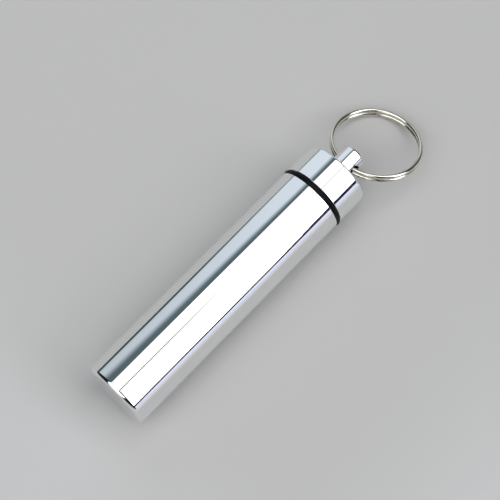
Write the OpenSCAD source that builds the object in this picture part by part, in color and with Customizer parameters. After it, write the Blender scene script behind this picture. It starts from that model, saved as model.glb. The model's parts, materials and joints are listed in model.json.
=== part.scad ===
// Pill fob for a key ring: a turned aluminium tube with a screw cap,
// a rubber seal between them, and a split ring through the cap's drilled lug.
// The fob lies on its side. The origin is the centre of the tube's closed end,
// +X runs along the tube to the cap, and +Z is up.

/* [Tube] */
// Outside diameter of the tube and the cap
tube_d = 19; // [16:0.1:25]
// Length from the closed end to the shoulder under the seal
tube_len = 72; // [40:1:100]
// Thickness of the closed end
end_wall = 1.6; // [1:0.1:4]
// Radius of the round edge at the closed end
end_round = 1; // [0.4:0.1:2]
// Radius in the corner at the bottom of the chamber
bore_round = 1; // [0.4:0.1:3]
// Width of the chamfer on the edge of the shoulder
shoulder_chamfer = 0.15; // [0.05:0.05:0.3]

/* [Neck] */
// Width of the shoulder, from the outside of the tube in to the crests of the neck's thread
shoulder_w = 1.1; // [0.9:0.05:1.5]
// Depth from the thread's crests to the bottom of the groove that holds the seal
groove_depth = 0.6; // [0.4:0.05:0.8]
// Thickness of the wall between the bottom of the groove and the pill chamber
neck_wall = 0.6; // [0.4:0.05:2]
// Width of the groove left over beside the seal, where the thread runs out
thread_runout = 0.65; // [0.3:0.05:1.5]
// Length of the neck above the seal
neck_len = 6.5; // [5:0.1:9]
// Width of the chamfer that leads into the thread
lead_chamfer = 0.5; // [0.2:0.1:0.6]
// Width of the chamfer inside the chamber's mouth
mouth_chamfer = 0.3; // [0.1:0.1:0.5]

/* [Seal] */
// Thickness of the seal when the cap squeezes it
seal_w = 1.35; // [1:0.05:1.8]
// How far the seal stands proud of the tube
seal_proud = 0.2; // [0.05:0.05:0.4]
// Clearance between the seal and the bottom of its groove
seal_clear = 0.1; // [0.05:0.01:0.3]

/* [Cap] */
// Space between the end of the neck and the roof inside the cap
cap_headroom = 0.5; // [0.2:0.1:0.9]
// Thickness of the cap's roof
cap_roof = 2; // [1:0.1:5]
// Clearance between the thread's crests and the cap's wall
thread_clear = 0.2; // [0.1:0.05:0.3]
// Width of the chamfer round the cap's face
cap_chamfer = 0.4; // [0.1:0.1:0.8]
// Width of the chamfer on the cap's rim
rim_chamfer = 0.15; // [0.05:0.05:0.3]

/* [Lug] */
// Diameter of the lug on the cap's face
lug_d = 6.8; // [6:0.1:9]
// Length of the lug
lug_len = 7.3; // [6:0.1:12]
// Radius of the round edge on the lug's end
lug_round = 1; // [0.2:0.1:1.2]
// Diameter of the hole drilled across the lug
hole_d = 3.4; // [3.4:0.1:4]
// Distance from the cap's face to the middle of the hole
hole_up = 3.1; // [2.9:0.1:4]
// How far the cap is turned from the position where its hole lies level, in degrees
cap_turned = -10.2; // [-20:0.1:20]

/* [Split ring] */
// Outside diameter of the split ring
ring_d = 25; // [24:0.1:32]
// Diameter of the ring's wire
wire_d = 1.2; // [1:0.05:1.25]
// Gap between the two turns of wire
turn_gap = 0.42; // [0.41:0.01:0.5]
// Angle of the ring in which the wire crosses from one turn to the other, in degrees
cross_angle = 18; // [16:1:40]
// Gap at each cut end of the wire, beside the crossing, in degrees
end_gap = 3; // [2:0.5:8]
// Where on the ring the wire crosses over, in degrees from the lug
cross_at = 223; // [120:1:240]
// How far the ring is turned aside in its hole, in degrees
ring_aside = -3.5; // [-4:0.1:4]

/* [Hidden] */
$fn = 96;

tube_r = tube_d / 2;
thread_r = tube_r - shoulder_w;
groove_r = thread_r - groove_depth;
bore_r = groove_r - neck_wall;
rim_x = tube_len + seal_w;
neck_end_x = rim_x + neck_len;

seal_in_r = groove_r + seal_clear;
seal_out_r = tube_r + seal_proud;
seal_mid_r = (seal_in_r + seal_out_r) / 2;

cap_bore_r = thread_r + thread_clear;
roof_x = neck_end_x + cap_headroom;
face_x = roof_x + cap_roof;
lug_r = lug_d / 2;
hole_x = face_x + hole_up;

// A cut runs this far past the solid that it opens
past = 1;

// The ring's wire runs round a circle of this radius, on two levels
wire_r = wire_d / 2;
coil_r = ring_d / 2 - wire_r;
level = (wire_d + turn_gap) / 2;
// Inside the lug the wire bows, so the ring is set back by half of the bow
bow = (coil_r - sqrt(coil_r * coil_r - lug_r * lug_r)) / 2;
// The surface that the fob lies on
ground_z = -seal_out_r;

// The tube's half section: distance from the axis, then distance from the closed end
module tube_half() {
  difference() {
    union() {
      square([tube_r - end_round, tube_len - shoulder_chamfer]);
      translate([0, end_round])
        square([tube_r, tube_len - shoulder_chamfer - end_round]);
      translate([tube_r - end_round, end_round])
        circle(r = end_round);
      polygon([
        [0, tube_len - shoulder_chamfer],
        [tube_r, tube_len - shoulder_chamfer],
        [tube_r - shoulder_chamfer, tube_len],
        [groove_r, tube_len],
        [groove_r, rim_x + thread_runout],
        [thread_r, rim_x + thread_runout + groove_depth],
        [thread_r, neck_end_x - lead_chamfer],
        [thread_r - lead_chamfer, neck_end_x],
        [0, neck_end_x]
      ]);
    }
    chamber_half();
  }
}

// The half section of the pill chamber, with its round corner and wider mouth
module chamber_half() {
  translate([0, end_wall + bore_round])
    square([bore_r, neck_end_x - end_wall - bore_round + past]);
  translate([0, end_wall])
    square([bore_r - bore_round, bore_round + past]);
  translate([bore_r - bore_round, end_wall + bore_round])
    circle(r = bore_round);
  polygon([
    [0, neck_end_x - mouth_chamfer],
    [bore_r, neck_end_x - mouth_chamfer],
    [bore_r + mouth_chamfer + past, neck_end_x + past],
    [0, neck_end_x + past]
  ]);
}

// Drawn to a tube that is closed, bored and threaded at its open end
module tube() {
  color([0.86, 0.88, 0.91])
    rotate([90, 0, 90])
      rotate_extrude()
        tube_half();
}

// A round rubber section squeezed flat between the shoulder and the rim
module seal() {
  color([0.09, 0.10, 0.11])
    rotate([90, 0, 90])
      rotate_extrude()
        intersection() {
          translate([seal_mid_r, tube_len + seal_w / 2])
            circle(d = seal_out_r - seal_in_r);
          translate([seal_in_r, tube_len])
            square([seal_out_r - seal_in_r, seal_w]);
        }
}

// The cap's half section, with its skirt, its roof and the lug
module cap_half() {
  difference() {
    union() {
      polygon([
        [0, rim_x],
        [tube_r - rim_chamfer, rim_x],
        [tube_r, rim_x + rim_chamfer],
        [tube_r, face_x - cap_chamfer],
        [tube_r - cap_chamfer, face_x],
        [lug_r, face_x],
        [lug_r, face_x + lug_len - lug_round],
        [lug_r - lug_round, face_x + lug_len - lug_round],
        [lug_r - lug_round, face_x + lug_len],
        [0, face_x + lug_len]
      ]);
      translate([lug_r - lug_round, face_x + lug_len - lug_round])
        circle(r = lug_round);
    }
    polygon([
      [0, rim_x - past],
      [cap_bore_r + rim_chamfer + past, rim_x - past],
      [cap_bore_r, rim_x + rim_chamfer],
      [cap_bore_r, roof_x],
      [0, roof_x]
    ]);
  }
}

// Turned from one bar with its lug, then drilled across for the ring
module cap() {
  color([0.86, 0.88, 0.91])
    difference() {
      rotate([90, 0, 90])
        rotate_extrude()
          cap_half();
      translate([hole_x, 0, 0])
        rotate([cap_turned + 90, 0, 0])
          cylinder(d = hole_d, h = lug_d + 2 * past, center = true);
    }
}

// The height of the wire above the ring's middle plane: it stays on the lower level
// for the first turn, crosses over smoothly, and stays on the upper level after that
function crossing(a) = min(1, max(0, (a - 360 + cross_angle / 2) / cross_angle));
function wire_h(a) = -level * cos(180 * crossing(a));
// The slope of the wire along its way, in degrees
function wire_slope(a) =
  atan(level * sin(180 * crossing(a)) * 180 / cross_angle / coil_r);

// The angles at which the wire's section is drawn, closer together at the crossing
turn_step = 7.5;
cross_step = cross_angle / 8;
first_a = cross_angle / 2 + end_gap;
cross_a = 360 - cross_angle / 2;
turn_span = cross_a - first_a;
turn_count = ceil(turn_span / turn_step);
stations = concat(
  [for (i = [0 : turn_count - 1]) first_a + turn_span * i / turn_count],
  [for (i = [0 : 7]) cross_a + cross_step * i],
  [for (i = [0 : turn_count]) cross_a + cross_angle + turn_span * i / turn_count]
);
wire_sides = 12;

// One section of the wire: a circle square to its way at angle a
function wire_point(a, s) =
  let (
    out = coil_r + wire_r * cos(s),
    up = wire_r * sin(s),
    back = up * sin(wire_slope(a))
  )
  [
    out * cos(a) + back * sin(a),
    out * sin(a) - back * cos(a),
    wire_h(a) + up * cos(wire_slope(a))
  ];

// Two flat turns of wire in one unbroken piece, cut square at both ends
module coil() {
  n = len(stations);
  polyhedron(
    points = [
      for (a = stations)
        for (k = [0 : wire_sides - 1])
          wire_point(a, k * 360 / wire_sides)
    ],
    faces = concat(
      [[for (k = [0 : wire_sides - 1]) k]],
      [
        for (i = [0 : n - 2])
          for (k = [0 : wire_sides - 1])
            [
              i * wire_sides + k,
              (i + 1) * wire_sides + k,
              (i + 1) * wire_sides + (k + 1) % wire_sides
            ]
      ],
      [
        for (i = [0 : n - 2])
          for (k = [0 : wire_sides - 1])
            [
              i * wire_sides + k,
              (i + 1) * wire_sides + (k + 1) % wire_sides,
              i * wire_sides + (k + 1) % wire_sides
            ]
      ],
      [[for (k = [wire_sides - 1 : -1 : 0]) (n - 1) * wire_sides + k]]
    )
  );
}

// The least gap of the wire to itself: each station is measured against the wire
// one turn further on, from some way before the same angle to some way past it
function wire_mid(a) = [coil_r * cos(a), coil_r * sin(a), wire_h(a)];
last_a = stations[len(stations) - 1];
least_gap = min([
  for (a = stations)
    for (d = [-30 : 1 : 30])
      if (a + 360 + d <= last_a) norm(wire_mid(a) - wire_mid(a + 360 + d))
]) - wire_d;
echo(least_gap_between_turns = least_gap);

// The height of the ring's lowest wire over the ground when the ring leans by this angle
function ring_rise(lean) =
  let (
    up = cos(lean) * cos(cap_turned),
    mid_z = (coil_r - bow) * (
      sin(ring_aside) * sin(cap_turned) -
      cos(ring_aside) * sin(lean) * cos(cap_turned)
    )
  )
  mid_z - level * up - coil_r * sqrt(1 - up * up) - wire_r - ground_z;

// The lean at which the ring just touches the ground, found by halving a span of angles
most_lean = 80;
lean_halvings = 24;
function find_lean(low, high, halvings) =
  let (middle = (low + high) / 2)
  halvings == 0 ? middle :
  ring_rise(middle) > 0 ?
    find_lean(middle, high, halvings - 1) :
    find_lean(low, middle, halvings - 1);

// Hung in the lug's hole and leaning down until it rests on the ground
module split_ring() {
  color([0.78, 0.77, 0.73])
    translate([hole_x, 0, 0])
      rotate([cap_turned, 0, 0])
        rotate([0, find_lean(0, most_lean, lean_halvings), 0])
          rotate([0, 0, ring_aside])
            translate([coil_r - bow, 0, 0])
              rotate([0, 0, 180 + cross_at])
                coil();
}

tube();
seal();
cap();
split_ring();
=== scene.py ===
import json
import math

import bmesh
import bpy
import numpy as np
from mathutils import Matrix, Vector


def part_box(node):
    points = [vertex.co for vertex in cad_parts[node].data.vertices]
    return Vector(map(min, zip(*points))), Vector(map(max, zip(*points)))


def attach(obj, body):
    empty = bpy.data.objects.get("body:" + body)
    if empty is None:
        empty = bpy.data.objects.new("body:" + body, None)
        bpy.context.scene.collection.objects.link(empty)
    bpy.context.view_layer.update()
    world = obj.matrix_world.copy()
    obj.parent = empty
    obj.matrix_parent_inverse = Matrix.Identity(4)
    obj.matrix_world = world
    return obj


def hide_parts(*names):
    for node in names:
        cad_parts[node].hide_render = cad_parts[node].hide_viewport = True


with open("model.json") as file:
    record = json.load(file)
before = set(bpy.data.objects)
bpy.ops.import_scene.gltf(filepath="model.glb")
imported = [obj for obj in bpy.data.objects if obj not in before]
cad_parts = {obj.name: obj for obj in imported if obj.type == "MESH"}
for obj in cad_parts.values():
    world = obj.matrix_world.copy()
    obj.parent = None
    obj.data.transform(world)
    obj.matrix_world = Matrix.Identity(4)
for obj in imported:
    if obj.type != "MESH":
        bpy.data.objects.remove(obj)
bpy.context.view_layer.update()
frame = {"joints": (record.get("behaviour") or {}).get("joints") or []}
mm = 0.001

# The tube. It is turned from round aluminium bar, bored from the open end to hold the tablets, and polished.
# Its neck is cut down for the seal's groove and for a right-hand thread, and the closed end has a round edge.
shoulder_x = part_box("seal")[0].x
neck_end_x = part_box("tube")[1].x
tube_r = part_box("tube")[1].y
rim_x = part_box("cap")[0].x
end_round = 1.0 * mm
end_wall = 1.6 * mm
shoulder_chamfer = 0.15 * mm
shoulder_w = 1.1 * mm
thread_depth = 0.6 * mm
thread_runout = 0.65 * mm
neck_wall = 0.6 * mm
lead_chamfer = 0.5 * mm
mouth_chamfer = 0.3 * mm
bore_round = 1.0 * mm
thread_r = tube_r - shoulder_w
groove_r = thread_r - thread_depth
bore_r = groove_r - neck_wall
runout_x = rim_x + thread_runout
pitch = 1.5 * mm
flank_angle = math.radians(30)
broken_edge = 0.05 * mm
# How finely the surfaces are drawn: the rows of a thread, the steps on a round edge and the points round it
thread_row = 0.07 * mm
arc_step = math.radians(9)
guard = 0.02 * mm
around = 256
same_place = 0.0001 * mm
# How far the hole through the cap's lug is turned from level. The points round the axis start there, so that
# they fit the hole's mouths
hole_tilt = math.radians(-10.2)


def outline(corners):
    """The points (x, r) of a turned outline. Each corner is (x, r) or (x, r, radius). An arc that touches
    both sides takes the corner's place, and a point just outside each end of the arc keeps the flat sides
    flat when the shading is smooth. The first and last corners stay as they are."""
    points = [corners[0][:2]]
    for (x0, r0, *_), (x1, r1, *given), (x2, r2, *_) in zip(corners, corners[1:], corners[2:]):
        radius = given[0] if given else broken_edge
        here = np.array([x1, r1])
        back, on = np.array([x0, r0]) - here, np.array([x2, r2]) - here
        back, on = back / np.linalg.norm(back), on / np.linalg.norm(on)
        half = math.acos(np.clip(back @ on, -1, 1)) / 2
        reach = radius / math.tan(half)
        centre = here + (back + on) / np.linalg.norm(back + on) * radius / math.sin(half)
        start, end = here + back * reach - centre, here + on * reach - centre
        turn = math.pi - 2 * half
        share = np.linspace(0, 1, max(3, math.ceil(turn / arc_step)))[:, None]
        arc = (np.sin((1 - share) * turn) * start + np.sin(share * turn) * end) / math.sin(turn)
        points += [here + back * (reach + guard), *(centre + arc), here + on * (reach + guard)]
    return np.array([*points, corners[-1][:2]])


def turned(x, r):
    """A grid of points, one row for each x, turned about the X axis in even steps. The distance r from the
    axis is one number for each row, or one for each point of the grid."""
    angle = hole_tilt + np.linspace(0, 2 * math.pi, around + 1)
    r = np.broadcast_to(r if np.ndim(r) == 2 else np.asarray(r)[:, None], (len(x), around + 1))
    x = np.broadcast_to(np.asarray(x)[:, None], r.shape)
    return np.stack([x, r * np.cos(angle), r * np.sin(angle)], -1)


def thread_height(x, shift=0.0):
    """The height of a right-hand thread's ridge, from 0 in the groove to 1 on the crest, for each row x and
    each column: a trapezium wave of the distance along the axis less one pitch for each turn round it. The
    shift moves it along by a share of the pitch."""
    angle = hole_tilt + np.linspace(0, 2 * math.pi, around + 1)
    wave = (np.asarray(x)[:, None] / pitch - angle / (2 * math.pi) + shift) % 1
    flank = thread_depth * math.tan(flank_angle) / pitch
    flat = 0.5 - flank
    return np.clip((np.abs(wave - 0.5) - flat / 2) / flank, 0, 1)


def surface(name, *grids):
    """One closed mesh over grids of points. Neighbours in a grid are joined by quads, points that coincide at
    seams, poles and where grids meet are merged, and the faces are turned outwards."""
    points, faces, first = [], [], 0
    for grid in grids:
        rows, columns = grid.shape[:2]
        index = first + np.arange(rows * columns).reshape(rows, columns)
        quads = np.stack([index[:-1, :-1], index[1:, :-1], index[1:, 1:], index[:-1, 1:]], -1)
        faces += quads.reshape(-1, 4).tolist()
        points.append(grid.reshape(-1, 3))
        first += rows * columns
    mesh = bpy.data.meshes.new(name)
    mesh.from_pydata(np.concatenate(points), [], faces)
    shell = bmesh.new()
    shell.from_mesh(mesh)
    bmesh.ops.remove_doubles(shell, verts=shell.verts, dist=same_place)
    bmesh.ops.recalc_face_normals(shell, faces=shell.faces)
    shell.to_mesh(mesh)
    shell.free()
    mesh.shade_smooth()
    made = bpy.data.objects.new(name, mesh)
    bpy.context.scene.collection.objects.link(made)
    return made


def node(tree, kind, inputs=(), **settings):
    """Adds a shader node, sets it up, and gives its inputs values or other nodes' outputs."""
    made = tree.nodes.new("ShaderNode" + kind)
    for setting, value in settings.items():
        setattr(made, setting, value)
    for key, value in dict(inputs).items():
        if isinstance(value, bpy.types.NodeSocket):
            tree.links.new(value, made.inputs[key])
        else:
            made.inputs[key].default_value = value
    return made


def surface_material(name):
    """A new material with one Principled shader: the material, its node tree and the shader."""
    made = bpy.data.materials.new(name)
    made.use_nodes = True
    return made, made.node_tree, made.node_tree.nodes["Principled BSDF"]


def noise(tree, place, scale, detail, **settings):
    """Soft noise from 0 to 1, with as many spots to a metre as the scale says."""
    return node(tree, "TexNoise", {"Vector": place, "Scale": scale, "Detail": detail}, **settings).outputs[0]


def ramp(tree, value, start, end, at_start, at_end, **settings):
    """A value that goes from at_start to at_end while the given one goes from start to end, then stays."""
    return node(tree, "MapRange", {0: value, 1: start, 2: end, 3: at_start, 4: at_end}, **settings).outputs[0]


def blend(tree, share, first, second):
    """The first colour where share is 0, and the second where it is 1."""
    mix = node(tree, "Mix", {"Factor": share, "A": first, "B": second}, data_type="RGBA")
    return mix.outputs["Result"]


def bump(tree, height, strength, depth):
    """The normals of a skin whose height from 0 to 1 is worth this depth."""
    return node(tree, "Bump", {"Height": height, "Strength": strength, "Distance": depth}).outputs[0]


def finish(tree, shader, colour, roughness, normal):
    """Gives the shader its colour, roughness and normals."""
    tree.links.new(colour, shader.inputs["Base Color"])
    tree.links.new(roughness, shader.inputs["Roughness"])
    tree.links.new(normal, shader.inputs["Normal"])


def polished_aluminium(name):
    """Bright aluminium, polished on the lathe: fine rings about the axis in height and in roughness, and
    faint smudges."""
    made, tree, shader = surface_material(name)
    place = node(tree, "TexCoord").outputs["Object"]
    axes = node(tree, "SeparateXYZ", {0: place}).outputs
    across = node(tree, "CombineXYZ", {1: axes[1], 2: axes[2]}).outputs[0]
    from_axis = node(tree, "VectorMath", {0: across}, operation="LENGTH").outputs["Value"]
    rings = node(tree, "CombineXYZ", {0: axes[0], 1: from_axis}).outputs[0]
    lines = noise(tree, rings, 9000, 2.0, noise_dimensions="2D")
    bands = noise(tree, rings, 900, 3.0, noise_dimensions="2D")
    smudges = noise(tree, place, 160, 4.0)
    streaks = ramp(tree, bands, 0.3, 0.7, 0.035, 0.06)
    haze = ramp(tree, smudges, 0.55, 0.8, 0.0, 0.05)
    dull = node(tree, "Math", {0: streaks, 1: haze}, operation="ADD").outputs[0]
    bright = (0.905, 0.915, 0.925, 1)
    greyed = (0.865, 0.875, 0.89, 1)
    finish(tree, shader, blend(tree, smudges, bright, greyed), dull, bump(tree, lines, 1.0, 0.0002 * mm))
    shader.inputs["Metallic"].default_value = 1
    return made


body_rows = outline([
    (0, 0),
    (0, tube_r, end_round),
    (shoulder_x - shoulder_chamfer, tube_r),
    (shoulder_x, tube_r - shoulder_chamfer),
    (shoulder_x, groove_r),
])
neck_x = np.arange(shoulder_x + thread_row, neck_end_x + thread_row / 2, thread_row)
neck_x[-1] = neck_end_x
neck_shape = [
    (shoulder_x, groove_r),
    (runout_x, groove_r),
    (runout_x + thread_depth, thread_r),
    (neck_end_x - lead_chamfer, thread_r),
    (neck_end_x, thread_r - lead_chamfer),
]
neck_limit = np.interp(neck_x, *np.transpose(neck_shape))[:, None]
neck_r = np.minimum(neck_limit, groove_r + thread_depth * thread_height(neck_x))
chamber_rows = outline([
    (neck_end_x, thread_r - lead_chamfer),
    (neck_end_x, bore_r + mouth_chamfer),
    (neck_end_x - mouth_chamfer, bore_r),
    (end_wall, bore_r, bore_round),
    (end_wall, 0),
])[1:]
tube = surface("tube_body", np.concatenate([
    turned(*body_rows.T),
    turned(neck_x, neck_r),
    turned(*chamber_rows.T),
]))
tube.data.materials.append(polished_aluminium("Polished aluminium, tube"))
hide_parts("tube")
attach(tube, "tube_body")

# The seal. It is a moulded rubber ring in the groove beside the shoulder, and the cap's rim squeezes it,
# so that its sides are flat, it bulges round at the outside and stands a little proud of the tube.
seal_half = (rim_x - shoulder_x) / 2
seal_out_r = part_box("seal")[1].z
seal_clear = 0.1 * mm
seal_in_r = groove_r + seal_clear
seal_steps = 64


def black_rubber():
    """Black moulded rubber with a satin skin and the finest grain."""
    made, tree, shader = surface_material("Black rubber")
    place = node(tree, "TexCoord").outputs["Object"]
    grain = noise(tree, place, 4000, 3.0)
    dust = noise(tree, place, 700, 5.0)
    black = (0.002, 0.0025, 0.004, 1)
    dusty = (0.005, 0.006, 0.009, 1)
    satin = ramp(tree, dust, 0.3, 0.7, 0.34, 0.5)
    finish(tree, shader, blend(tree, dust, black, dusty), satin, bump(tree, grain, 0.6, 0.004 * mm))
    shader.inputs["Specular IOR Level"].default_value = 0.12
    return made


# The section is two half circles, as wide as the gap that squeezes it, joined by straight sides
turn = np.linspace(0, 2 * math.pi, seal_steps + 1)
half_straight = (seal_out_r - seal_in_r) / 2 - seal_half
seal_x = shoulder_x + seal_half + seal_half * np.sin(turn)
inner_or_outer = np.sign(np.round(np.cos(turn), 9))
seal_r = (seal_in_r + seal_out_r) / 2 + seal_half * np.cos(turn) + half_straight * inner_or_outer
seal = surface("seal_ring", turned(seal_x, seal_r))
seal.data.materials.append(black_rubber())
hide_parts("seal")
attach(seal, "seal_body")

# The cap. It is turned from the same bar in one piece with its lug, threaded inside, drilled across the lug
# for the ring, and polished. The hole's two mouths are rounded off, so that the ring slides in them.
skirt_len = 9.0 * mm
face_x = rim_x + skirt_len
cap_headroom = 0.5 * mm
roof_x = neck_end_x + cap_headroom
thread_clear = 0.2 * mm
cap_bore_r = thread_r + thread_clear
lug_r = 3.4 * mm
lug_end_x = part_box("cap")[1].x
rim_chamfer = 0.15 * mm
cap_chamfer = 0.4 * mm
skirt_round = 0.35 * mm
face_round = 0.25 * mm
lug_round = 1.0 * mm
lug_fillet = 0.15 * mm
roof_fillet = 0.2 * mm
relief = 0.9 * mm
hole_x = [j for j in frame["joints"] if j["name"] == "ring_swing"][0]["pos_m"][0]
hole_r = 1.7 * mm
mouth_round = 0.2 * mm
# The patch of the lug's side round the hole runs from near the face to near the round end. Its rows lie close
# together at the hole's mouth, and further apart the further they are from it
past_face = 0.5 * mm
before_end = 0.2 * mm
patch_from_x = face_x + past_face
patch_to_x = lug_end_x - lug_round - before_end
patch_close = [0, 0.01]
patch_start = 0.04
patch_growth = 1.3
patch_rows = 20
side_steps = 56
mouth_steps = 10
wall_rows = 12


def turn_about(axis, angle):
    """The matrix of a turn about the X, Y or Z axis."""
    i, j = {"X": (1, 2), "Y": (2, 0), "Z": (0, 1)}[axis]
    matrix = np.eye(3)
    matrix[i, i] = matrix[j, j] = math.cos(angle)
    matrix[j, i] = math.sin(angle)
    matrix[i, j] = -math.sin(angle)
    return matrix


def hole_grids():
    """The grids of the lug's side round the hole. On each half of the side, straight spokes in the unrolled
    surface run from the hole's mouth to the edge of a rectangle, on rows that are closest at the mouth. The
    mouth is rounded by a ball that rolls round it inside the metal, touching the lug's side and the hole's
    wall, and the wall runs straight from mouth to mouth."""
    edge = np.linspace(-math.pi / 2, math.pi / 2, around // 2 + 1)
    along = np.linspace(patch_to_x, patch_from_x, side_steps + 1)
    x = np.concatenate([0 * edge + patch_to_x, along[1:-1], 0 * edge + patch_from_x, along[-2::-1]])
    angle = np.concatenate([edge, 0 * along[1:-1] + edge[-1], edge[::-1], 0 * along[1:] + edge[0]])
    spoke = np.arctan2(lug_r * angle, x - hole_x)
    ball_out = hole_r + mouth_round
    ball_up = np.sqrt((lug_r - mouth_round) ** 2 - (ball_out * np.sin(spoke)) ** 2)
    ball = np.stack([hole_x + ball_out * np.cos(spoke), ball_up, ball_out * np.sin(spoke)], -1)
    to_side = ball * [0, 1, 1] / (lug_r - mouth_round)
    to_wall = -np.stack([np.cos(spoke), 0 * spoke, np.sin(spoke)], -1)
    opening = np.arccos(np.clip((to_side * to_wall).sum(-1, keepdims=True), -1, 1))
    share = np.linspace(0, 1, mouth_steps + 1)[:, None, None]
    rounding = ball + mouth_round * (
        np.sin((1 - share) * opening) * to_wall + np.sin(share * opening) * to_side
    ) / np.sin(opening)
    mouth_x = ball[:, 0]
    mouth_angle = np.arcsin(ball_out * np.sin(spoke) / (lug_r - mouth_round))
    share = np.concatenate([patch_close, np.linspace(patch_start, 1, patch_rows) ** patch_growth])[:, None]
    spoke_x = (1 - share) * mouth_x + share * x
    spoke_angle = (1 - share) * mouth_angle + share * angle
    side = np.stack([spoke_x, lug_r * np.cos(spoke_angle), lug_r * np.sin(spoke_angle)], -1)
    half = np.concatenate([rounding, side[1:]])
    share = np.linspace(1, -1, wall_rows)[:, None, None]
    wall = rounding[0] * [1, 0, 1] + share * (rounding[0] * [0, 1, 0])
    return [grid @ turn_about("X", hole_tilt).T for grid in (half, half * [1, -1, -1], wall)]


roof_rows = outline([
    (roof_x, 0),
    (roof_x, cap_bore_r, roof_fillet),
    (roof_x - relief, cap_bore_r),
])[:-1]
inner_x = np.arange(roof_x - relief / 2, rim_x + thread_row / 2, -thread_row)
inner_shape = [
    (rim_x, cap_bore_r + rim_chamfer),
    (rim_x + rim_chamfer + thread_depth, cap_bore_r - thread_depth),
    (roof_x - relief - thread_depth, cap_bore_r - thread_depth),
    (roof_x - relief, cap_bore_r),
]
inner_limit = np.interp(inner_x, *np.transpose(inner_shape))[:, None]
inner_r = np.maximum(inner_limit, cap_bore_r - thread_depth * thread_height(inner_x, 0.5))
skirt_rows = outline([
    (rim_x + thread_row, cap_bore_r),
    (rim_x, cap_bore_r + rim_chamfer),
    (rim_x, tube_r - rim_chamfer),
    (rim_x + rim_chamfer, tube_r),
    (face_x - cap_chamfer, tube_r, skirt_round),
    (face_x, tube_r - cap_chamfer, face_round),
    (face_x, lug_r, lug_fillet),
    (patch_from_x, lug_r),
])[1:]
tip_rows = outline([
    (patch_to_x, lug_r),
    (lug_end_x, lug_r, lug_round),
    (lug_end_x, 0),
])
cap = surface(
    "cap_with_lug",
    np.concatenate([turned(*roof_rows.T), turned(inner_x, inner_r), turned(*skirt_rows.T)]),
    *hole_grids(),
    turned(*tip_rows.T),
)
cap.data.materials.append(polished_aluminium("Polished aluminium, cap"))
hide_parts("cap")
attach(cap, "cap_body")

# The split ring. It is two turns of nickel plated spring wire, wound flat and hung in the lug. The wire is
# pressed into a short crossing from the lower turn to the upper one, and its two ends are cut at a slant, so
# that they lie beside the crossing.
ring_r = 12.5 * mm
wire_r = 0.6 * mm
coil_r = ring_r - wire_r
level = 0.62 * mm
crossing = math.radians(6.5)
end_gap = math.radians(1.1)
end_reach = math.radians(15)
cross_at = math.radians(221)
ring_aside = math.radians(-3.5)
ground_z = -seal_out_r
end_edge = 0.12 * mm
end_steps = 4
wire_sides = 32
wire_step = math.radians(0.8)
crossing_steps = 24
# Inside the lug the wire bows, so the ring is set back by half of the bow
bow = (coil_r - math.sqrt(coil_r ** 2 - lug_r ** 2)) / 2
# The ring leans as the solid one does, whose turns are a little further apart
solid_level = 0.81 * mm
lean_halvings = 40


def wire_height(a):
    """The wire's height over the ring's middle plane at angle a: a half cosine wave through the crossing."""
    share = np.clip((a - 2 * math.pi) / crossing + 0.5, 0, 1)
    return -level * np.cos(math.pi * share)


def wire_grid():
    """A circle carried along the wire's way, upright and square to it. The way goes round a circle while its
    height follows the crossing. Towards a cut end the circle leans until the end's face is as steep as the
    crossing, and past the end it shrinks, first round the end's edge and then to a point."""
    first, last = end_gap, 4 * math.pi - end_gap
    evenly = np.linspace(first, last, math.ceil((last - first) / wire_step))
    a = np.union1d(evenly, 2 * math.pi + np.linspace(-crossing / 2, crossing / 2, crossing_steps + 1))
    tuck = np.linspace(0, math.pi / 2, end_steps + 1)
    edge_r = wire_r - end_edge * (1 - np.sin(tuck))
    edge_past = end_edge * np.cos(tuck)
    radius = np.concatenate([[0], edge_r, 0 * a[1:-1] + wire_r, edge_r[::-1], [0]])
    past = np.concatenate([[-end_edge], -edge_past, 0 * a[1:-1], edge_past[::-1], [end_edge]])
    a = np.concatenate([np.full(end_steps + 2, first), a[1:-1], np.full(end_steps + 2, last)])
    near_end = np.clip(1 - np.minimum(a - first, last - a) / end_reach, 0, 1) ** 2
    lean = near_end * crossing * coil_r / (2 * wire_r)
    turn = np.linspace(0, 2 * math.pi, wire_sides + 1)
    out = coil_r + radius[:, None] * np.cos(turn)
    up = radius[:, None] * np.sin(turn)
    at = a[:, None] + (past[:, None] + lean[:, None] * up) / coil_r
    return np.stack([out * np.cos(at), out * np.sin(at), wire_height(a)[:, None] + up], -1)


def hung(lean):
    """The matrix of the turns that hang the ring from the tilted hole, leaning down by this angle."""
    return turn_about("X", hole_tilt) @ turn_about("Y", lean) @ turn_about("Z", ring_aside)


def ring_lean():
    """The angle at which the ring hangs from the hole and just touches the ground, found by halving the span
    between straight out and straight down."""
    low, high = 0.0, math.pi / 2
    for _ in range(lean_halvings):
        middle = (low + high) / 2
        centre_z = hung(middle)[2, 0] * (coil_r - bow)
        up = math.cos(middle) * math.cos(hole_tilt)
        lowest = centre_z - solid_level * up - coil_r * math.sqrt(1 - up ** 2) - wire_r
        low, high = (middle, high) if lowest > ground_z else (low, middle)
    return low


def nickel_plate():
    """Bright nickel over drawn wire: a fine grain, clouded a little, warmer and duller than the aluminium."""
    made, tree, shader = surface_material("Nickel plate")
    place = node(tree, "TexCoord").outputs["Object"]
    cloud = noise(tree, place, 500, 4.0)
    grain = noise(tree, place, 6000, 2.0)
    bright = (0.84, 0.82, 0.74, 1)
    clouded = (0.78, 0.76, 0.68, 1)
    dull = ramp(tree, cloud, 0.3, 0.7, 0.07, 0.16)
    finish(tree, shader, blend(tree, cloud, bright, clouded), dull, bump(tree, grain, 0.5, 0.001 * mm))
    shader.inputs["Metallic"].default_value = 1
    return made


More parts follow.
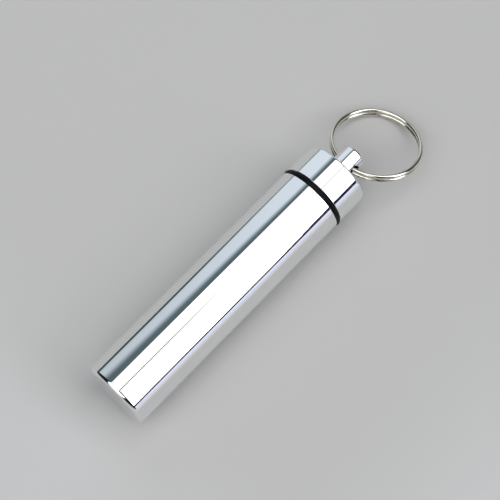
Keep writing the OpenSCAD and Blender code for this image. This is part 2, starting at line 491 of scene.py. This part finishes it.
wire = wire_grid() @ turn_about("Z", math.pi + cross_at).T + [coil_r - bow, 0, 0]
ring = surface("split_ring_wire", wire @ hung(ring_lean()).T + [hole_x, 0, 0])
ring.data.materials.append(nickel_plate())
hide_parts("split_ring")
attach(ring, "ring_body")

# The stage. A plain pale floor lies under the fob, as wide as the light needs, and takes its shadow. Its
# colour carries painted light: it grows lighter towards the front edge, and a little past the closed end.
floor_half = 3.0
floor_rows, floor_columns = np.meshgrid(*[np.linspace(-floor_half, floor_half, 3)] * 2, indexing="ij")
floor = bpy.data.objects.new("floor", bpy.data.meshes.new("floor"))
floor_points = np.stack([floor_rows, floor_columns, 0 * floor_rows + ground_z], -1).reshape(-1, 3)
corner = np.array([0, 1, 3, 4])
floor.data.from_pydata(floor_points, [], np.stack([corner, corner + 3, corner + 4, corner + 1], -1).tolist())
bpy.context.scene.collection.objects.link(floor)
pale_floor, floor_tree, floor_shader = surface_material("Pale floor")
floor_place = node(floor_tree, "SeparateXYZ", {0: node(floor_tree, "TexCoord").outputs["Object"]}).outputs
# Painted light: the floor's colour is lighter towards the front edge and a little past the closed end
to_front_edge = ramp(floor_tree, floor_place[1], -0.04, -0.16, 0.0, 1.0, interpolation_type="SMOOTHSTEP")
past_closed_end = ramp(floor_tree, floor_place[0], 0.02, -0.03, 0.0, 0.25, interpolation_type="SMOOTHSTEP")
painted_light_share = node(floor_tree, "Math", {0: to_front_edge, 1: past_closed_end}, operation="MAXIMUM").outputs[0]
floor_colour_with_painted_light = blend(floor_tree, painted_light_share, (0.56, 0.56, 0.555, 1), (0.76, 0.76, 0.79, 1))
floor_tree.links.new(floor_colour_with_painted_light, floor_shader.inputs["Base Color"])
floor_shader.inputs["Roughness"].default_value = 0.9
floor_shader.inputs["Specular IOR Level"].default_value = 0.2
floor.data.materials.append(pale_floor)

# The studio. Long soft boxes run beside and over the fob. A place in the sky is given by its angle round the
# X axis, counted from straight up towards the front (-Y), and by its angle up towards the ring (+X).
sky = bpy.data.worlds.new("Studio")
sky.use_nodes = True
bpy.context.scene.world = sky
studio = sky.node_tree
studio.nodes.clear()


def maths(operation, *values):
    """The result of one Math node."""
    return node(studio, "Math", dict(enumerate(values)), operation=operation).outputs[0]


def spread(value, start, end, at_start, at_end):
    """A value that goes evenly from at_start to at_end while the first one goes from start to end."""
    return ramp(studio, value, start, end, at_start, at_end)


def over(value, start, end):
    """0 below start, 1 above end, and smooth between them."""
    return ramp(studio, value, start, end, 0.0, 1.0, interpolation_type="SMOOTHSTEP")


def under(value, start, end):
    """1 below start, 0 above end, and smooth between them."""
    return maths("SUBTRACT", 1.0, over(value, start, end))


def between(value, start, full, fade, end):
    """0 outside start and end, and 1 from full to fade."""
    return maths("MULTIPLY", over(value, start, full), under(value, fade, end))


def painted(share, first, second):
    """The first light where share is 0, and the second where it is 1."""
    return blend(studio, share, first, second)


def grey(strength):
    """A plain grey light of this strength."""
    return (strength, strength, strength, 1)


sky_direction = node(studio, "TexCoord").outputs["Generated"]
direction = node(studio, "SeparateXYZ", {0: sky_direction}).outputs
to_front = maths("DEGREES", maths("ARCTAN2", maths("MULTIPLY", direction[1], -1.0), direction[2]))
to_ring = maths("DEGREES", maths("ARCSINE", direction[0]))
# The white light is strongest towards the front, and evens out past the ring
white_light = painted(over(to_front, 25.0, 60.0), grey(1.5), grey(3.4))
white_light = painted(over(to_ring, 18.0, 30.0), white_light, grey(2.8))
# At the back, a blue-grey box grows brighter towards the ring. It fades to slate before the white one, and to
# a dark green over the floor
box_dim = spread(to_ring, 7.0, 16.0, 0.24, 0.0)
blue_box = painted(box_dim, (0.73, 0.81, 0.89, 1), grey(0.0))
fade_middle = spread(to_ring, 6.0, 15.0, -51.0, -33.0)
fade_half = spread(to_ring, 6.0, 15.0, 13.5, 8.0)
fade_place = maths("DIVIDE", maths("SUBTRACT", to_front, fade_middle), fade_half)
lit = painted(over(fade_place, -1.0, 1.0), blue_box, (0.095, 0.138, 0.152, 1))
back_end = maths("MULTIPLY_ADD", over(to_ring, 9.0, 16.0), 6.0, to_front)
lit = painted(under(back_end, -85.0, -77.0), lit, (0.03, 0.07, 0.05, 1))
# Overhead is a wide white one in two sheets, whose joint shows a little
white_edge = maths("MULTIPLY_ADD", to_ring, -0.38, to_front)
white_start = over(white_edge, -26.6, -25.6)
lit = painted(white_start, lit, white_light)
joint_share = maths("ADD", under(to_ring, 8.0, 13.5), maths("MULTIPLY", over(to_ring, 14.6, 15.6), 0.6))
joint_place = maths("SUBTRACT", to_front, spread(to_ring, 6.5, 16.0, 10.4, 13.6))
joint = maths("MULTIPLY", between(joint_place, -2.3, -1.7, 1.7, 2.3), joint_share)
lit = painted(joint, lit, grey(0.35))
# In front of it, past a dark gap that widens towards the ring, daylight comes in over the floor
front_place = maths("MULTIPLY_ADD", over(to_ring, 16.9, 17.2), 5.0, to_front)
lit = painted(over(front_place, 81.2, 82.0), lit, (0.84, 0.86, 1.05, 1))
gap_start = maths("MULTIPLY_ADD", over(to_ring, 12.6, 15.6), 5.0, front_place)
gap = maths("MULTIPLY", over(gap_start, 75.6, 76.6), under(front_place, 81.6, 82.4))
lit = painted(gap, lit, (0.02, 0.024, 0.045, 1))
# Past the closed end the blue box stops. The white light goes on behind its joint, and in front of the joint
# there is only one narrower sheet past a dark frame
in_front = over(joint_place, -0.5, 0.5)
sheet = maths("MULTIPLY", under(to_ring, -26.0, -20.0), under(to_front, 38.0, 42.0))
white_share = painted(in_front, white_start, sheet)
past_end = painted(white_share, painted(under(to_ring, -85.0, -62.0), grey(0.02), grey(0.5)), white_light)
lit = painted(under(to_ring, 5.2, 6.3), lit, past_end)
# Past the ring the boxes end in the room, which is dark overhead and paler at its sides and far end
ring_end = maths("MULTIPLY_ADD", maths("MAXIMUM", to_front, 30.0), 0.2, to_ring)
room = painted(under(to_front, -44.0, -38.0), grey(0.05), grey(0.35))
room = painted(over(to_front, 60.0, 66.0), room, grey(0.2))
room = painted(over(to_ring, 76.0, 88.0), room, grey(0.5))
lit = painted(over(ring_end, 42.0, 48.0), lit, room)
# Below the horizon there is a plain grey, and the camera itself sees a plain grey all round
lit = painted(under(direction[2], -0.01, 0.0), lit, grey(0.5))
seen = node(studio, "LightPath").outputs["Is Camera Ray"]
shown = painted(seen, lit, grey(0.55))
background = node(studio, "Background", {"Color": shown, "Strength": 1.0}).outputs[0]
node(studio, "OutputWorld", {"Surface": background})

# The camera looks down on the fob from beside its closed end. Its place, its direction and its lens are
# worked out from how the tube and the ring appear in the photograph.
camera = bpy.data.objects.new("camera", bpy.data.cameras.new("camera"))
bpy.context.scene.collection.objects.link(camera)
bpy.context.scene.camera = camera
camera_down = math.radians(72.4)
camera_towards = math.radians(43.52)
camera.location = Vector((-45.84, -90.42, 422.52)) * mm
looking = Vector((
    math.cos(camera_down) * math.cos(camera_towards),
    math.cos(camera_down) * math.sin(camera_towards),
    -math.sin(camera_down),
))
camera.rotation_mode = "QUATERNION"
camera.rotation_quaternion = looking.to_track_quat("-Z", "Y")
camera.data.sensor_width = 36
camera.data.lens = 124.25
camera.data.clip_start = 0.01
camera.data.clip_end = 20
bpy.context.scene.view_settings.view_transform = "Standard"
